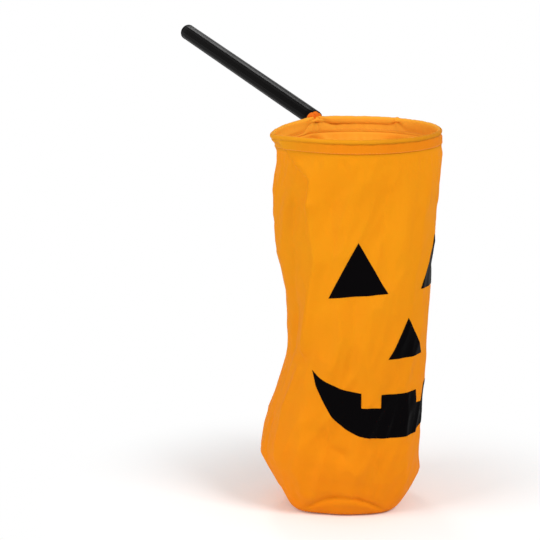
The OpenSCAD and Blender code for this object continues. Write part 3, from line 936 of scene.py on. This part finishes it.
def film_piece(name, arcs, drops):
    """A film piece from a grid of places on the flat cloth: arcs along it from the bag's front, and drops
    below the hoop, in mm."""
    angle = np.array([
        np.interp(arc, girth[round((drop - first_drop) / drop_step)], sweep)
        for arc, drop in zip(arcs.ravel(), drops.ravel())
    ]).reshape(arcs.shape)
    relief = wall_relief(angle, drops) + film_lift
    points, faces, used = shell(bag_point(angle, drops, relief + film_t), bag_point(angle, drops, relief))
    piece = new_piece(name + "_film", points, faces, black_film)
    piece.data.set_sharp_from_angle(angle=crease_from)
    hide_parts(name)
    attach(piece, "net")
    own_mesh(piece)
    return piece


# The two eyes and the nose: apex, left corner and right corner, along the cloth and below the hoop.
triangles = (
    ("left_eye", (2.8, 87.8), (-24.6, 136.5), (27.1, 132)),
    ("right_eye", (89.2, 87.8), (64.0, 132), (116.6, 136.5)),
    ("nose", (47, 155), (27, 190), (68, 190)),
)
for name, apex, left, right in triangles:
    shares = np.linspace(0, 1, film_grid)
    down, over = np.meshgrid(shares, shares, indexing="ij")
    arcs = apex[0] + down * (left[0] - apex[0] + over * (right[0] - left[0]))
    drops = apex[1] + down * (left[1] - apex[1] + over * (right[1] - left[1]))
    film_piece(name, arcs, drops)

# The grin has the same lips and tooth to both sides of its middle: lip between the teeth, a tooth, and lip
# outside. Above the teeth's ends the film leans a little to the left.
grin_half = 84.6
grin_tip = 201
upper_lip = 21.5
lower_lip = 63
lip_power = 3.1
tooth_in, tooth_out = 18.6, 36
tooth_drop = 234.6
tooth_edge = 0.05
tooth_lean = 0.17
lean_from, lean_gone = 38, 70
lip_rows = 26
mid_cols, tooth_cols, side_cols = 16, 16, 46
half_spread = np.concatenate([
    np.linspace(0, tooth_in - tooth_edge, mid_cols),
    np.linspace(tooth_in, tooth_out, tooth_cols),
    np.linspace(tooth_out + tooth_edge, grin_half, side_cols),
])
spread = np.concatenate([-half_spread[:0:-1], half_spread])
off_mid = np.abs(spread)
has_tooth = (off_mid > tooth_in - tooth_edge / 2) & (off_mid < tooth_out + tooth_edge / 2)
lip_share = 1 - (off_mid / grin_half) ** lip_power
upper = np.where(has_tooth, tooth_drop, grin_tip + upper_lip * lip_share)
lower = grin_tip + lower_lip * lip_share
down, column = np.meshgrid(np.linspace(0, 1, lip_rows), np.arange(len(spread)), indexing="ij")
drops = upper[column] + down * (lower - upper)[column]
lean = tooth_lean * np.minimum(drops - tooth_drop, 0) * (1 - soft(off_mid[column], lean_from, lean_gone))
film_piece("mouth", face_mid + spread[column] + lean, drops)

# The stitching: orange thread in plain running stitches. One row goes round each side of the hem,
# one runs down each side seam, and one goes round the base.
stitch_pitch = 3.0 * MM
stitch_length = 2.3 * MM
thread_width = 0.55 * MM

# Polyester thread: a shade deeper than the cloth, with a soft sheen.
thread, tree, surface = empty_material("orange_polyester_thread")
shader = add_node(tree, "ShaderNodeBsdfPrincipled", {
    "Base Color": linear("#ec8a0c"), "Roughness": 0.6, "Sheen Weight": 0.2, "Sheen Roughness": 0.4,
})
tree.links.new(shader.outputs["BSDF"], surface)

# A running stitch: a slim bead of thread at every pitch along a line, turned to follow it.
stitch_tree = bpy.data.node_groups.new("running_stitch", "GeometryNodeTree")
stitch_tree.interface.new_socket("Line", in_out="INPUT", socket_type="NodeSocketGeometry")
stitch_sockets = {
    name: stitch_tree.interface.new_socket(name, in_out="INPUT", socket_type=kind).identifier
    for name, kind in (
        ("Pitch", "NodeSocketFloat"), ("Stitch Length", "NodeSocketFloat"),
        ("Thread Width", "NodeSocketFloat"), ("Thread", "NodeSocketMaterial"),
    )
}
stitch_tree.interface.new_socket("Stitches", in_out="OUTPUT", socket_type="NodeSocketGeometry")
given = add_node(stitch_tree, "NodeGroupInput")
path = add_node(stitch_tree, "GeometryNodeMeshToCurve", {"Mesh": given.outputs["Line"]})
spots = add_node(stitch_tree, "GeometryNodeCurveToPoints", {
    "Curve": path.outputs["Curve"], "Length": given.outputs["Pitch"],
}, mode="LENGTH")
facing = add_node(stitch_tree, "FunctionNodeAlignRotationToVector", {
    "Vector": spots.outputs["Tangent"],
}, axis="Z")
size = add_node(stitch_tree, "ShaderNodeCombineXYZ", {
    "X": given.outputs["Thread Width"], "Y": given.outputs["Thread Width"],
    "Z": given.outputs["Stitch Length"],
})
bead = add_node(stitch_tree, "GeometryNodeMeshUVSphere", {"Segments": 8, "Rings": 6, "Radius": 0.5})
sewn = add_node(stitch_tree, "GeometryNodeInstanceOnPoints", {
    "Points": spots.outputs["Points"], "Instance": bead.outputs["Mesh"],
    "Rotation": facing.outputs["Rotation"], "Scale": size.outputs["Vector"],
})
real = add_node(stitch_tree, "GeometryNodeRealizeInstances", {"Geometry": sewn.outputs["Instances"]})
dyed = add_node(stitch_tree, "GeometryNodeSetMaterial", {
    "Geometry": real.outputs["Geometry"], "Material": given.outputs["Thread"],
})
add_node(stitch_tree, "NodeGroupOutput", {"Stitches": dyed.outputs["Geometry"]})


def sew(name, lines, body, squashed=False):
    """A row of stitches along each line of points, on a body. A squashed row gets a mesh of its own."""
    mesh = bpy.data.meshes.new(name)
    points = [tuple(p) for line in lines for p in line]
    firsts = np.cumsum([0] + [len(line) for line in lines])
    edges = [
        (at, at + 1)
        for first, line in zip(firsts, lines) for at in range(first, first + len(line) - 1)
    ]
    mesh.from_pydata(points, edges, [])
    row = bpy.data.objects.new(name + "_thread", mesh)
    bpy.context.collection.objects.link(row)
    maker = row.modifiers.new("running_stitch", "NODES")
    maker.node_group = stitch_tree
    maker[stitch_sockets["Pitch"]] = stitch_pitch
    maker[stitch_sockets["Stitch Length"]] = stitch_length
    maker[stitch_sockets["Thread Width"]] = thread_width
    maker[stitch_sockets["Thread"]] = thread
    settle(row)
    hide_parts(name)
    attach(row, body)
    if squashed:
        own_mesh(row)
    return row


# A row's drops below the hoop, how far it stands off the cloth, and the points of its line.
hem_row, hem_lift, hem_points = 9.7, 0.3, 400
round_hem = np.linspace(0, 2 * pi, hem_points)
hem_drops = np.full(round_hem.shape, hem_row)
hem_in = hang_in(round_hem - bag_turn, hem_drops)
hem_lines = [
    on_ring(round_hem, off - hem_in, -hem_drops)
    for off in (inner_ply - hem_lift, outer_ply + hem_lift)
]
sew("hem_stitching", hem_lines, "net")

seam_top, seam_end, seam_lift, seam_points = 15, 336, 0.1, 300
seam_run = np.linspace(seam_top, seam_end, seam_points)
for name, seam in zip(("left_seam_stitching", "right_seam_stitching"), seam_angles):
    seam_turn = np.full(seam_run.shape, seam)
    inner_face = wall_relief(seam_turn, seam_run) - cloth_t
    seam_line = bag_point(seam_turn, seam_run, inner_face - seam_lift)
    sew(name, [seam_line], "net", squashed=True)

base_row, base_lift, base_points = 340.6, 0.2, 300
round_base = np.linspace(0, 2 * pi, base_points)
base_drops = np.full(round_base.shape, base_row)
base_line = bag_point(round_base, base_drops, np.full(round_base.shape, base_lift))
sew("base_stitching", [base_line], "bag_base")
